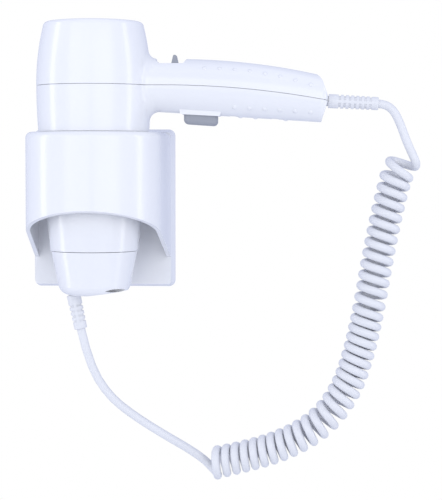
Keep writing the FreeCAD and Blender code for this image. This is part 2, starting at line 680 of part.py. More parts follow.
def fan_parts():
    low, high = S.motor_low, S.motor_high
    tunnel = cut("tunnel", cylinder("tunnel_out", 0, 0, low, S.duct_outer_r, 40),
                 cylinder("tunnel_in", 0, 0, low - 1, S.duct_inner_r, 42))
    cradle_r = S.motor_r + 0.2
    cradle = cut("cradle", cylinder("cradle_out", 0, 0, low, cradle_r + 2, 14),
                 cylinder("cradle_in", 0, 0, low - 1, cradle_r, 16))
    vanes = []
    for i in range(7):
        turn = Rotation(Vector(0, 0, 1), 360 * i / 7)
        vane = new("Part::Box", f"vane_{i}")
        bind(vane, "Length", S.duct_inner_r - cradle_r - 1)
        vane.Width = 1.4
        vane.Height = 14
        vane.Placement = Placement(turn.multVec(Vector(cradle_r.value + 1, -0.7, low.value)), turn)
        vanes.append(vane)
    ribs = []
    for i in range(4):
        turn = Rotation(Vector(0, 0, 1), 45 + 90 * i)
        rib = new("Part::Box", f"duct_rib_{i}")
        bind(rib, "Length", S.barrel_r - S.wall - S.duct_outer_r - 0.2)
        rib.Width, rib.Height = 2.0, 5.0
        rib.Placement = Placement(
            turn.multVec(Vector(S.duct_outer_r.value - 0.3, -1, low.value + 21)), turn)
        ribs.append(rib)
    keep("fan_duct", place(fuse("fan_duct", tunnel, cradle, *vanes, *ribs), 0, AXIS_Y, 0))

    can = turned("motor_can", [(0, low), (S.motor_r, low), (S.motor_r, high - 1),
                               (S.motor_r - 1, high), (4, high), (4, high + 2), (0, high + 2)])
    bore = cylinder("motor_bore", 0, 0, low + 3, S.shaft_r + 0.05, 40)
    keep("motor", place(cut("motor", can, bore), 0, AXIS_Y, 0))
    keep("motor_shaft", cylinder("motor_shaft", 0, AXIS_Y, low + 3.5, S.shaft_r,
                                 S.impeller_high - 1 - low - 3.5))

    nose = S.impeller_high + 2.5
    hub = turned("hub", [(0, S.impeller_low), (S.hub_r, S.impeller_low),
                         (S.hub_r, S.impeller_high), (S.hub_r - 4, nose, 4.8), (0, nose)])
    sweep = cylinder("blade_sweep", 0, 0, S.impeller_low + 0.4, S.blade_r,
                     S.impeller_high - S.impeller_low - 0.8)
    blades = []
    middle = (S.impeller_low + S.impeller_high) / 2
    for i in range(9):
        turn = Rotation(Vector(0, 0, 1), 40 * i + 17).multiply(Rotation(Vector(1, 0, 0), 38))
        blade = new("Part::Box", f"blade_{i}")
        bind(blade, "Length", S.blade_r + 3 - S.hub_r)
        blade.Width = 13
        blade.Height = 1.2
        corner = turn.multVec(Vector(S.hub_r.value - 2, -6.5, -0.6))
        blade.Placement = Placement(corner + Vector(0, 0, middle.value), turn)
        blades.append(common(f"blade_swept_{i}", blade, sweep))
    rotor = fuse("rotor", hub, *blades)
    shaft_hole = cylinder("shaft_hole", 0, 0, S.impeller_low - 1, S.shaft_r,
                          S.impeller_high - S.impeller_low)
    keep("impeller", place(cut("impeller", rotor, shaft_hole), 0, AXIS_Y, 0))


def nozzle_r(z):
    """Outer radius of the outlet nozzle at a height."""
    share = (as_size(z) - S.nozzle_tip_z) / (S.shoulder_z - S.nozzle_tip_z)
    return S.nozzle_tip_r + (S.nozzle_root_r - S.nozzle_tip_r) * share


def nozzle_parts():
    flange_low = S.shoulder_z + S.wall + 0.1
    keep("outlet_nozzle", turned("outlet_nozzle", [
        (nozzle_r(flange_low) - S.nozzle_wall, flange_low + 2), (S.nozzle_root_r + 2, flange_low + 2),
        (S.nozzle_root_r + 2, flange_low), (S.nozzle_root_r, flange_low),
        (nozzle_r(S.nozzle_tip_z + 1), S.nozzle_tip_z + 1),
        (S.nozzle_tip_r - 1, S.nozzle_tip_z, -1.2),
        (S.nozzle_tip_r - S.nozzle_wall, S.nozzle_tip_z)], y=AXIS_Y))
    low = S.nozzle_tip_z + 5.5
    face = grille("outlet", nozzle_r(low) - S.nozzle_wall - 0.2, low, 2.2, 3.2, 1.4, 8)
    keep("outlet_grille", place(face, 0, AXIS_Y, 0))


def heater_parts():
    low, high = S.heater_low, S.heater_high
    height = high - low
    keep("mica_sleeve", place(cut(
        "mica_sleeve", cylinder("sleeve_out", 0, 0, low - 3, S.sleeve_r, height + 5),
        cylinder("sleeve_in", 0, 0, low - 4, S.sleeve_r - 0.5, height + 7)), 0, AXIS_Y, 0))
    half, thick = S.mica_half, S.mica_thick
    notch = thick + 0.2
    wide = box("wide_blank", -half, half, -thick / 2, thick / 2, low, high)
    wide_notch = box("wide_notch", -notch / 2, notch / 2, -2, 2, low - 1, low + height / 2)
    keep("mica_plate_wide", place(cut("mica_plate_wide", wide, wide_notch), 0, AXIS_Y, 0))
    cross = box("cross_blank", -thick / 2, thick / 2, -half, half, low, high)
    cross_notch = box("cross_notch", -2, 2, -notch / 2, notch / 2, low + height / 2, high + 1)
    keep("mica_plate_cross", place(cut("mica_plate_cross", cross, cross_notch), 0, AXIS_Y, 0))

    wire_r, pitch, start = 0.45, 7.0, low + 3
    radius = half + wire_r + 0.2
    keep("heater_coil", place(helix_wire("heater", radius, pitch, height - 6, wire_r), 0, AXIS_Y,
                              start))
    keep("thermal_cutout", box("thermal_cutout", 4, 15, AXIS_Y + thick / 2, AXIS_Y + thick / 2 + 3,
                               high - 16, high - 9))
    keep("thermal_fuse", cylinder("thermal_fuse", -11, AXIS_Y + thick / 2 + 1.6, high - 20, 1.6, 10))


def helix_wire(name, radius, pitch, height, wire_r):
    """Six-sided wire wound into an open helix about Z."""
    spine = new("Part::Helix", name + "_helix")
    bind(spine, "Pitch", pitch)
    bind(spine, "Height", height)
    bind(spine, "Radius", radius)
    section = new("Part::RegularPolygon", name + "_section")
    section.Polygon = 6
    bind(section, "Circumradius", wire_r)
    place(section, radius, 0, 0, Rotation(Vector(1, 0, 0), 90))
    doc.recompute()
    wire = new("Part::Sweep", name + "_wire")
    wire.Sections = [section]
    wire.Spine = (spine, [f"Edge{i + 1}" for i in range(len(spine.Shape.Edges))])
    wire.Solid = True
    wire.Frenet = True
    return wire


# ---- controls and wiring in the handle ----------------------------------------------------------

def controls():
    base_z, tip_z = S.recess_z + 0.3, S.recess_z + 6.3
    knob = new_body("knob")
    feature(knob, "Pad", "XZ_Plane", -4.5, 9,
            outline=[(S.knob_x - 2.3, base_z), (S.knob_x + 2.3, base_z), (S.knob_x + 1.1, tip_z - 0.8),
                     (S.knob_x - 1.1, tip_z - 0.8, 1.2)])
    stem = box("knob_stem", S.knob_x - 1.3, S.knob_x + 1.3, -1.6, 1.6, S.recess_z - 4.6,
               base_z + 0.5)
    keep("slider_knob", place(fuse("slider_knob", knob, stem), 0, AXIS_Y, 0))
    case = box("slide_case", S.knob_x - 9, S.knob_x + 8.4, -5, 5, S.recess_z - 13, S.recess_z - 2.8)
    track = box("slide_track", S.knob_x - 6, S.knob_x + 6, -2.2, 2.2, S.recess_z - 5.2, S.recess_z)
    keep("slide_switch", place(cut("slide_switch", case, track), 0, AXIS_Y, 0))

    cap_top, stop_z = 79.5, 74.4
    press = new_body("press")
    feature(press, "Pad", "XZ_Plane", -S.trigger_half, S.trigger_half * 2,
            outline=[(S.trigger_start, S.trigger_low + 4.6), (S.trigger_start + 3.4, S.trigger_low + 1.2, 3.4),
                     (S.trigger_end - 3.2, S.trigger_low), (S.trigger_end, S.trigger_low + 3.2, 3.2),
                     (S.trigger_end, cap_top), (S.trigger_start, cap_top)])
    doc.recompute()
    side_edges = [f"Edge{i}" for i, edge in enumerate(press.Shape.Edges, start=1)
                  if edge.BoundBox.YLength < 0.01 and edge.BoundBox.ZMin < cap_top - 1]
    round_edges(press, side_edges, 2.6)
    stops = box("press_stops", S.trigger_start - 3, S.trigger_end + 3, -5.4, 5.4, stop_z, stop_z + 1.8)
    middle = (S.trigger_start + S.trigger_end) / 2
    spring_low, spring_high = cap_top - 3, 87.0
    seat = cylinder("spring_seat", middle, 0, spring_low, 3.6, 10)
    keep("trigger_button", place(cut("trigger_button", fuse("press_solid", press, stops), seat),
                                 0, AXIS_Y, 0))
    keep("trigger_spring", place(helix_wire("trigger", 2.6, 2.2, spring_high - spring_low - 1.0, 0.3),
                                 middle, AXIS_Y, spring_low + 0.4))
    keep("push_switch", box("push_switch", middle - 10, middle + 10, AXIS_Y - 6, AXIS_Y + 6,
                            spring_high, 97))


def gland(name, length, x, z, lean):
    """Slotted strain relief along its own Z axis, flange inside the shell, slots on both sides."""
    root_r, end_r = S.gland_root_r, S.gland_end_r
    blank = turned(name + "_blank", [
        (0, -5.4), (5.6, -5.4), (5.6, -3.0), (3.7, -3.0), (3.7, 0.42), (root_r, 0.42), (root_r, 6.5),
        (end_r, length - 0.8), (end_r - 0.8, length, 0.8), (0, length)])
    core = cylinder(name + "_core", 0, 0, 0, S.gland_end_r - 0.6, length)
    slots, spine = [], 12
    count = int((length - 9) / S.gland_pitch.value)
    for i in range(count):
        for side in (0, 1):
            start = 7.6 + S.gland_pitch * i
            slots.append(cylinder(f"{name}_slot_{i}_{side}", 0, 0, start, 6, S.gland_pitch * 0.42,
                                  Rotation(Vector(0, 0, 1), 180 * side - 90 + spine), 180 - 2 * spine))
    rings = cut(name + "_rings", group(name + "_slots", *slots), core)
    made = cut(name, blank, rings)
    return keep(name, place(made, x, AXIS_Y, z, Rotation(Vector(0, 1, 0), lean)))


# ---- cords ------------------------------------------------------------------------------------

def rounded_path(points):
    """Straight runs joined by tangent arcs, each as large as 0.45 of its shorter run allows."""
    edges, radii = [], []
    last = points[0]
    for before, corner, after in zip(points, points[1:], points[2:]):
        back, ahead = before - corner, after - corner
        turn = math.pi - back.getAngle(ahead)
        trim = 0.45 * min(back.Length, ahead.Length)
        radius = trim / math.tan(turn / 2)
        back.normalize()
        ahead.normalize()
        start, finish = corner + back * trim, corner + ahead * trim
        inward = (back + ahead).normalize()
        centre = corner + inward * math.hypot(radius, trim)
        edges.append(Part.LineSegment(last, start).toShape())
        edges.append(Part.Arc(start, centre - inward * radius, finish).toShape())
        last = finish
        radii.append(round(radius, 1))
    edges.append(Part.LineSegment(last, points[-1]).toShape())
    return Part.Wire(edges), radii


def tube(name, points, radius):
    path, radii = rounded_path(points)
    start = path.Edges[0]
    section = Part.Wire(Part.Circle(start.valueAt(start.FirstParameter),
                                    start.tangentAt(start.FirstParameter), radius.value).toShape())
    made = new("Part::Feature", name)
    made.Shape = path.makePipeShell([section], True, False)
    want = math.pi * radius.value ** 2 * path.Length
    print(f"{name}: length {path.Length:.1f}, radii {radii}, "
          f"volume {made.Shape.Volume:.0f} of {want:.0f}")
    return keep(name, made)


def at(x, sway, z):
    """Point of the cord: sway is how far it hangs out from the barrel's own plane."""
    return Vector(x, AXIS_Y.value + sway, z)


def cords():
    lean = 90 + math.degrees(math.atan2(2.0, 36.2))
    root_x, root_z = S.handle_tip, S.cable_z
    length = 36.2
    gland("strain_relief_handle", length, root_x, root_z, lean)
    axis = axis_of(lean)
    leave = at(root_x.value, 0, root_z.value) + axis * (length + 0.3)
    coil_start, coil_end = at(225.8, 0, 36.2), at(87.5, 0, -184.2)
    tube("cord_upper_lead", [
        leave, leave + axis * 7.6, at(219.6, 0, 73.0), at(224.8, 0, 67.5), at(228.1, 0, 60.0),
        at(228.6, 0, 50.5), at(227.9, 0, 42.8), coil_start], S.cord_r)
    tube("cord_coil", [
        coil_start, at(219.0, 0.2, 27.0), at(215.2, 0.4, 14.0), at(210.6, 0.6, -4),
        at(204.2, 0.2, -36.5), at(198.8, -0.8, -69.5), at(191.5, -1.8, -103),
        at(182.5, -2.6, -129.5), at(166.5, -3.0, -152), at(143.5, -2.6, -167),
        at(116.0, -1.4, -177.5), coil_end], S.coil_r)
    drop_length = 25.5
    gland("strain_relief_holder", drop_length, S.lead_exit_x, S.cap_bottom, HOLDER_LEAN)
    down = axis_of(HOLDER_LEAN)
    low_end = at(S.lead_exit_x.value, 0, S.cap_bottom.value) + down * drop_length
    tube("cord_lower_lead", [
        coil_end, at(72.5, 0.4, -177.0), at(50, 0.8, -164.2), at(28, 0.4, -150.0),
        at(9.5, -0.3, -133.5), low_end + down * 24.5, low_end], S.cord_r)


def wiring():
    tail_start, tail_end = 138, S.handle_tip - 6.0
    keep("cord_tail_handset", cylinder("cord_tail_handset", tail_start, AXIS_Y, S.cable_z, S.cord_r,
                                       tail_end - tail_start, ALONG_X))
    keep("cord_tail_holder", cylinder("cord_tail_holder", S.lead_exit_x, AXIS_Y, S.cap_floor + 1,
                                      S.cord_r, 13))
    saddle = box("clamp_saddle", 146, 154, -9.5, 9.5, S.cable_z + S.cord_r - 0.6, S.cable_z + 6.5)
    tail_way = cylinder("clamp_way", 140, 0, S.cable_z, S.cord_r, 20, ALONG_X)
    keep("cord_clamp_handle", place(cut("cord_clamp_handle", saddle, tail_way), 0, AXIS_Y, 0))
    side, wire_r = 9.2, 1.1
    for name, rise in (("loom_live", -1.35), ("loom_neutral", 1.35)):
        tube(name, [at(137.0, 1.3, S.cable_z.value + rise), at(132.5, 8.8, 79.6 + rise),
                    at(122, side, 80.6 + rise), at(96, side + 0.6, 82.0 + rise),
                    at(66, side - 0.6, 81.2 + rise), at(46, 4.0 - rise, 77.2 + rise * 0.6),
                    at(20, 3 - rise, 75.6 + rise * 0.6)], as_size(wire_r))
    board = box("board", -9, 11, -8, 8, 70.0, 71.4)
    diodes = [cylinder(f"diode_{i}", -6 + 4.6 * i, -3.5, 72.6, 1.3, 6, ALONG_PLUS_Y) for i in range(4)]
    keep("rectifier_board", place(fuse("rectifier_board", board, *diodes), 0, AXIS_Y, 0))


# ---- build, check and write -------------------------------------------------------------------

def check():
    doc.recompute()
    faults = [thing.Name for thing in doc.Objects
              if "Invalid" in thing.State or "Error" in thing.State]
    for part in PARTS:
        if part.Shape.isNull() or not part.Shape.isValid() or not part.Shape.Solids:
            faults.append(part.Label)
    if faults:
        raise SystemExit(f"failed objects: {sorted(set(faults))}")


def write():
    os.makedirs("parts", exist_ok=True)
    for part in PARTS:
        part.Shape.exportStep(f"parts/{part.Label}.step")
    print(f"{len(PARTS)} sub-parts")


for build in (wall_plate, holder_shell, nozzle_cup, cup_cap, cable_duct, holder_fasteners,
              handset_shells, intake_parts, fan_parts, nozzle_parts, heater_parts, controls, cords,
              wiring):
    build()
check()
write()
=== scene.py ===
"""Hotel hair dryer in its wall holder: curly cord, grip pips, finishes, floor, light and camera."""
import json
import math

import bmesh
import bpy
import numpy as np
from bpy.props import FloatProperty, FloatVectorProperty, IntProperty, PointerProperty
from mathutils import Matrix, Vector


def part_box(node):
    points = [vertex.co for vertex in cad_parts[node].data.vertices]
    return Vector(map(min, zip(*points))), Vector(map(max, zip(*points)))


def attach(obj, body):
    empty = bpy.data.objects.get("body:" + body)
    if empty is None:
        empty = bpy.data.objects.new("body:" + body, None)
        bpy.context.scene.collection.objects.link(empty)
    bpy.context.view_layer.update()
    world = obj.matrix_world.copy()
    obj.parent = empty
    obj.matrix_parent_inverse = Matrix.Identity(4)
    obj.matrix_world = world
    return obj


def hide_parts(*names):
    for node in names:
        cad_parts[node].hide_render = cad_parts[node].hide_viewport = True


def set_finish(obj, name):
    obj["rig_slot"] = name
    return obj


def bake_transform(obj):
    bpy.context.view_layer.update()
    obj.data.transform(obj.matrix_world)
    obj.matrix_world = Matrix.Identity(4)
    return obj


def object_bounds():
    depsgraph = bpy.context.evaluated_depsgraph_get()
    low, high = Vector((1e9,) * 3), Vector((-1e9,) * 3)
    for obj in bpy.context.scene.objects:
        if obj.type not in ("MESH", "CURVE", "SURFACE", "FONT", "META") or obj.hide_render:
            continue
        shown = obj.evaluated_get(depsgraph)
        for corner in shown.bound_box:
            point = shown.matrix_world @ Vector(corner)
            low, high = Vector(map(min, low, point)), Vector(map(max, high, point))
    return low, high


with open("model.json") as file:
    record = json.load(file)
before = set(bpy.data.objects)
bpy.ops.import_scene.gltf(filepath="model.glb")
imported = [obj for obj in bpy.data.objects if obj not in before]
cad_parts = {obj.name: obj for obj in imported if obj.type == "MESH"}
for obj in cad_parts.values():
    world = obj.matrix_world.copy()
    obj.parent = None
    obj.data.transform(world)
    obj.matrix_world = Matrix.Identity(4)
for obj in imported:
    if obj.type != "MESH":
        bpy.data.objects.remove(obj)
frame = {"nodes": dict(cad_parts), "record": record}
CAD_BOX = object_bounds()

bl_info = {
    "name": "Hotel Hair Dryer",
    "version": (1, 0, 0),
    "blender": (4, 5, 0),
    "location": "View3D > Sidebar > Hair Dryer",
    "description": "Curly cord, grip pips, finishes and a plain studio for the wall-held hair dryer",
    "category": "Object",
}

MM = 0.001
AXIS_Y = -0.061
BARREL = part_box("rear_shell")


# ---- settings ---------------------------------------------------------------------------------

class CordSettings(bpy.types.PropertyGroup):
    """Sizes of the curly cord."""
    wire_radius: FloatProperty(
        name="Wire radius", description="Half the thickness of the cord's wire",
        default=0.00305, unit="LENGTH")
    coil_radius: FloatProperty(
        name="Coil radius", description="From the coil's axis to the middle of the wire",
        default=0.00875, unit="LENGTH")
    turns: IntProperty(
        name="Turns", description="Turns of the coil between its two leads", default=37)
    turn_points: IntProperty(
        name="Points a turn", description="Control points in one turn of the coil", default=16)
    end_loosening: FloatProperty(
        name="End loosening", description="Share by which the first and last turns open out",
        default=0.07, subtype="FACTOR")
    length: FloatProperty(
        name="Cord length", description="Length of the wire from gland to gland",
        default=2.3, unit="LENGTH")


class GripSettings(bpy.types.PropertyGroup):
    """Sizes of the raised pips on the handle."""
    pip_radius: FloatProperty(
        name="Pip radius", description="Half the width of one pip", default=0.0016,
        unit="LENGTH")
    pip_height: FloatProperty(
        name="Pip height", description="How far a pip stands out of the handle",
        default=0.0008, unit="LENGTH")
    pip_pitch: FloatProperty(
        name="Pip pitch", description="Distance from one pip to the next along a row",
        default=0.0108, unit="LENGTH")


class FinishSettings(bpy.types.PropertyGroup):
    """Colours of the hair dryer's plastics."""
    shell: FloatVectorProperty(
        name="Shell", description="Glossy white of the handset and holder",
        default=(0.83, 0.835, 0.855), size=3, min=0, max=1, subtype="COLOR")
    control: FloatVectorProperty(
        name="Controls", description="Grey of the trigger and the heat slider",
        default=(0.33, 0.345, 0.39), size=3, min=0, max=1, subtype="COLOR")
    cord: FloatVectorProperty(
        name="Cord", description="Off-white of the cord and its strain reliefs",
        default=(0.76, 0.765, 0.79), size=3, min=0, max=1, subtype="COLOR")


class StudioSettings(bpy.types.PropertyGroup):
    """The floor and the light."""
    floor_drop: FloatProperty(
        name="Floor drop", description="From the cord's lowest turn down to the floor",
        default=0.30, unit="LENGTH")
    key_power: FloatProperty(
        name="Key power", description="Power of each large light in front",
        default=5.8, unit="POWER")
    sky: FloatVectorProperty(
        name="Room light", description="Colour of the light from all round",
        default=(0.585, 0.63, 0.82), size=3, min=0, max=1, subtype="COLOR")


# ---- shader helpers ---------------------------------------------------------------------------

class Wire:
    """One shader socket, in plain arithmetic."""

    def __init__(self, graph, socket):
        self.graph, self.socket = graph, socket

    def maths(self, operation, first, second):
        return self.graph.node("ShaderNodeMath", {"operation": operation},
                               {0: first, 1: second})

    def __add__(self, other):
        return self.maths("ADD", self, other)

    __radd__ = __add__

    def __sub__(self, other):
        return self.maths("SUBTRACT", self, other)

    def __rsub__(self, other):
        return self.maths("SUBTRACT", other, self)

    def __mul__(self, other):
        return self.maths("MULTIPLY", self, other)

    __rmul__ = __mul__

    def __truediv__(self, other):
        return self.maths("DIVIDE", self, other)

    def __pow__(self, other):
        return self.maths("POWER", self, other)


class Graph:
    """A material's node tree."""

    def __init__(self, name):
        self.material = bpy.data.materials.new(name)
        self.material.use_nodes = True
        self.tree = self.material.node_tree
        self.tree.nodes.clear()
        self.columns = 0

    def node(self, kind, settings=None, sockets=None, output=0):
        """A node of that type: its settings first, then its sockets' values or links."""
        made = self.tree.nodes.new(kind)
        made.location = (220 * (self.columns % 8), -320 * (self.columns // 8))
        self.columns += 1
        for name, value in (settings or {}).items():
            if name == "stops":
                self.set_stops(made.color_ramp, value)
            else:
                setattr(made, name, value)
        for name, value in (sockets or {}).items():
            if isinstance(value, Wire):
                self.tree.links.new(value.socket, made.inputs[name])
            else:
                made.inputs[name].default_value = value
        return Wire(self, made.outputs[output]) if made.outputs else None

    def set_stops(self, ramp, stops):
        while len(ramp.elements) < len(stops):
            ramp.elements.new(1.0)
        for element, (place, colour) in zip(ramp.elements, stops):
            element.position = place
            element.color = (*colour, 1.0)

    def place(self):
        """Position on the object, in metres."""
        return self.node("ShaderNodeTexCoord", output="Object")

    def stretched(self, scale):
        return self.node("ShaderNodeVectorMath", {"operation": "MULTIPLY"},
                         {0: self.place(), 1: scale})

    def noise(self, scale, detail=3.0, roughness=0.5, where=None):
        return self.node("ShaderNodeTexNoise", {"noise_dimensions": "3D"},
                         {"Vector": where or self.place(), "Scale": scale, "Detail": detail,
                          "Roughness": roughness}, "Fac")

    def ramp(self, mask, stops):
        return self.node("ShaderNodeValToRGB", {"stops": stops}, {"Fac": mask}, "Color")

    def between(self, mask, first, second):
        """Colour that goes from the first to the second as the mask goes from 0 to 1."""
        return self.node("ShaderNodeMix", {"data_type": "RGBA"},
                         {"Factor": mask, 6: as_colour(first), 7: as_colour(second)}, 2)

    def span(self, mask, low, high):
        """Mask spread over low to high."""
        return self.node("ShaderNodeMapRange", {}, {"Value": mask, "To Min": low,
                                                    "To Max": high}, "Result")

    def bump(self, height, distance, strength=1.0):
        return self.node("ShaderNodeBump", {}, {"Height": height, "Distance": distance,
                                                "Strength": strength}, "Normal")

    def finish(self, **sockets):
        """Principled shader with those sockets, joined to the output."""
        named = {name.replace("_", " "): value for name, value in sockets.items()}
        shader = self.node("ShaderNodeBsdfPrincipled", {}, named, "BSDF")
        self.node("ShaderNodeOutputMaterial", {}, {"Surface": shader})
        return self.material


def as_colour(value):
    return value if isinstance(value, Wire) else (*value, 1.0)


def shade(colour, share):
    """The colour, made darker or lighter by a share."""
    return tuple(min(channel * share, 1.0) for channel in colour)


# ---- finishes ---------------------------------------------------------------------------------

def moulded_plastic(name, colour, roughness, coat, grain=1400.0, depth=0.00001):
    """Glossy moulded plastic: faint flow marks, orange peel and uneven polish."""
    graph = Graph(name)
    flow = graph.noise(14.0, 4.0)
    speckle = graph.noise(420.0, 2.0)
    tint = graph.between(flow, shade(colour, 0.985), shade(colour, 1.015))
    tint = graph.between(speckle * 0.25, tint, shade(colour, 0.96))
    polish = graph.span(flow * 0.6 + speckle * 0.4, roughness * 0.8, roughness * 1.25)
    peel = graph.noise(grain, 2.0)
    return graph.finish(Base_Color=tint, Roughness=polish, Coat_Weight=coat,
                        Coat_Roughness=0.08, Specular_IOR_Level=0.5,
                        Normal=graph.bump(peel, depth, 0.35))


def textured_rubber(name, colour, roughness, grain, depth):
    """Satin plastic or rubber with a fine stipple; its pits are darkened with painted shade over a
    faint speckle tone of its own.
    """
    graph = Graph(name)
    stipple = graph.noise(grain, 3.0, 0.6)
    cloud = graph.noise(60.0, 3.0)
    tint = graph.between(cloud, shade(colour, 0.94), shade(colour, 1.05))
    # Painted shade: the colour darkens where the stipple is low, in its pits, on top of a faint
    # speckle tone.
    tint = graph.between((1 - stipple) * 0.35, tint, shade(colour, 0.85))
    return graph.finish(Base_Color=tint, Roughness=graph.span(stipple, roughness * 0.85,
                                                              roughness * 1.15),
                        Specular_IOR_Level=0.45, Normal=graph.bump(stipple, depth, 0.5))


def cord_sheath(name, colour):
    """PVC sheath: satin skin with faint drawing marks."""
    graph = Graph(name)
    cloud = graph.noise(35.0, 3.0)
    skin = graph.noise(900.0, 2.0)
    tint = graph.between(cloud, shade(colour, 0.97), shade(colour, 1.03))
    return graph.finish(Base_Color=tint, Roughness=graph.span(skin, 0.30, 0.44),
                        Specular_IOR_Level=0.5, Normal=graph.bump(skin, 0.000002, 0.3))


def brushed_steel(name, colour, roughness, stretch):
    """Plated or drawn metal with fine streaks along one axis."""
    graph = Graph(name)
    streaks = graph.noise(1.0, 4.0, 0.65, graph.stretched(stretch))
    stain = graph.noise(120.0, 3.0)
    tint = graph.between(streaks, shade(colour, 0.82), shade(colour, 1.1))
    tint = graph.between(stain * 0.3, tint, shade(colour, 0.7))
    return graph.finish(Base_Color=tint, Metallic=1.0,
                        Roughness=graph.span(streaks, roughness * 0.7, roughness * 1.4),
                        Normal=graph.bump(streaks, 0.00002, 0.4))


def spangled_can(name):
    """Zinc-plated motor can: flat spangles of slightly different grey."""
    graph = Graph(name)
    cells = graph.node("ShaderNodeTexVoronoi", {"feature": "F1"},
                       {"Vector": graph.place(), "Scale": 240.0}, "Color")
    grey = graph.node("ShaderNodeSeparateColor", {}, {"Color": cells}, "Red")
    tint = graph.ramp(grey, [(0.0, (0.42, 0.43, 0.45)), (1.0, (0.62, 0.63, 0.65))])
    return graph.finish(Base_Color=tint, Metallic=1.0, Roughness=graph.span(grey, 0.28, 0.46),
                        Normal=graph.bump(grey, 0.00002, 0.3))


def layered_mica(name):
    """Pressed mica sheet: overlapping golden flakes."""
    graph = Graph(name)
    flakes = graph.node("ShaderNodeTexVoronoi", {"feature": "F1"},
                        {"Vector": graph.stretched((1.0, 1.0, 0.6)), "Scale": 330.0}, "Color")
    flake = graph.node("ShaderNodeSeparateColor", {}, {"Color": flakes}, "Green")
    blur = graph.noise(90.0, 4.0)
    tint = graph.ramp(flake * 0.6 + blur * 0.4,
                      [(0.1, (0.30, 0.21, 0.12)), (0.5, (0.50, 0.39, 0.24)),
                       (0.9, (0.68, 0.57, 0.40))])
    return graph.finish(Base_Color=tint, Roughness=graph.span(flake, 0.35, 0.6),
                        Specular_IOR_Level=0.6, Normal=graph.bump(flake, 0.00005, 0.4))


def heater_ribbon(name):
    """Resistance wire, blued in bands where it ran hottest."""
    graph = Graph(name)
    bands = graph.noise(1.0, 3.0, 0.5, graph.stretched((40.0, 40.0, 160.0)))
    tint = graph.ramp(bands, [(0.25, (0.30, 0.26, 0.24)), (0.5, (0.36, 0.27, 0.20)),
                              (0.62, (0.20, 0.20, 0.30)), (0.8, (0.34, 0.31, 0.30))])
    return graph.finish(Base_Color=tint, Metallic=1.0, Roughness=graph.span(bands, 0.3, 0.55))


def circuit_board(name):
    """Phenolic board with a woven grain."""
    graph = Graph(name)
    weave = graph.node("ShaderNodeTexWave", {"wave_type": "BANDS", "bands_direction": "DIAGONAL"},
                       {"Vector": graph.place(), "Scale": 420.0, "Distortion": 1.5}, "Fac")
    cloud = graph.noise(160.0, 3.0)
    tint = graph.between(weave * 0.4 + cloud * 0.5, (0.24, 0.15, 0.07), (0.42, 0.29, 0.15))
    return graph.finish(Base_Color=tint, Roughness=graph.span(cloud, 0.4, 0.6),
                        Normal=graph.bump(weave, 0.00003, 0.3))


def filter_gauze(name):
    """Woven intake gauze: two crossing sets of dark threads."""
    graph = Graph(name)
    across = graph.node("ShaderNodeTexWave", {"wave_type": "BANDS", "bands_direction": "X"},
                        {"Vector": graph.place(), "Scale": 380.0}, "Fac")
    along = graph.node("ShaderNodeTexWave", {"wave_type": "BANDS", "bands_direction": "Y"},
                       {"Vector": graph.place(), "Scale": 380.0}, "Fac")
    threads = across * along
    tint = graph.between(threads, (0.05, 0.05, 0.055), (0.22, 0.22, 0.24))
    return graph.finish(Base_Color=tint, Roughness=graph.span(threads, 0.55, 0.8),
                        Normal=graph.bump(threads, 0.0002, 0.8))


def all_finishes(colours):
    """One finish for each material slot of the record."""
    return {
        "gloss_white": moulded_plastic("Glossy white shell", colours.shell, 0.24, 0.22),
        "heat_white": moulded_plastic("Heatproof white", shade(colours.shell, 0.94), 0.34, 0.0),
        "grey_control": textured_rubber("Grey controls", colours.control, 0.46, 1500.0, 0.00006),
        "cord_pvc": cord_sheath("White cord sheath", colours.cord),
        "steel": brushed_steel("Plated steel", (0.62, 0.63, 0.65), 0.3, (300.0, 300.0, 2500.0)),
        "motor_can": spangled_can("Motor can"),
        "inner_plastic": textured_rubber("Inner plastic", (0.10, 0.10, 0.11), 0.5, 1200.0,
                                         0.00005),
        "mica": layered_mica("Mica sheet"),
        "heater_wire": heater_ribbon("Heater wire"),
        "board": circuit_board("Circuit board"),
        "wire": textured_rubber("Brown lead", (0.19, 0.09, 0.05), 0.42, 900.0, 0.00004),
        "filter": filter_gauze("Intake gauze"),
    }


# ---- helpers for pieces -----------------------------------------------------------------------

def add_object(name, data):
    made = bpy.data.objects.new(name, data)
    bpy.context.scene.collection.objects.link(made)
    return made


def route_curve(name, points, radius=0.0):
    """A NURBS curve with those control points, round if it has a radius."""
    curve = bpy.data.curves.new(name, "CURVE")
    curve.dimensions = "3D"
    curve.resolution_u = 3
    curve.bevel_depth = radius
    curve.bevel_resolution = 4
    curve.use_fill_caps = True
    spline = curve.splines.new("NURBS")
    spline.points.add(len(points) - 1)
    for point, place in zip(spline.points, points):
        point.co = (*place, 1.0)
    spline.order_u = 3
    spline.use_endpoint_u = True
    return add_object(name, curve)


def line_of(points, name, resolution=12):
    """Points along the NURBS line with those control points."""
    route = route_curve(name, points)
    route.data.resolution_u = resolution
    bpy.context.view_layer.update()
    mesh = bpy.data.meshes.new_from_object(route)
    line = [vertex.co.copy() for vertex in mesh.vertices]
    bpy.data.meshes.remove(mesh)
    bpy.data.objects.remove(route)
    return line


def cord_point(x, sway, z):
    """Point of the cord in metres, from millimetres in the plane that the barrel's axis is in."""
    return Vector((x * MM, AXIS_Y + sway * MM, z * MM))


# ---- curly cord -------------------------------------------------------------------------------

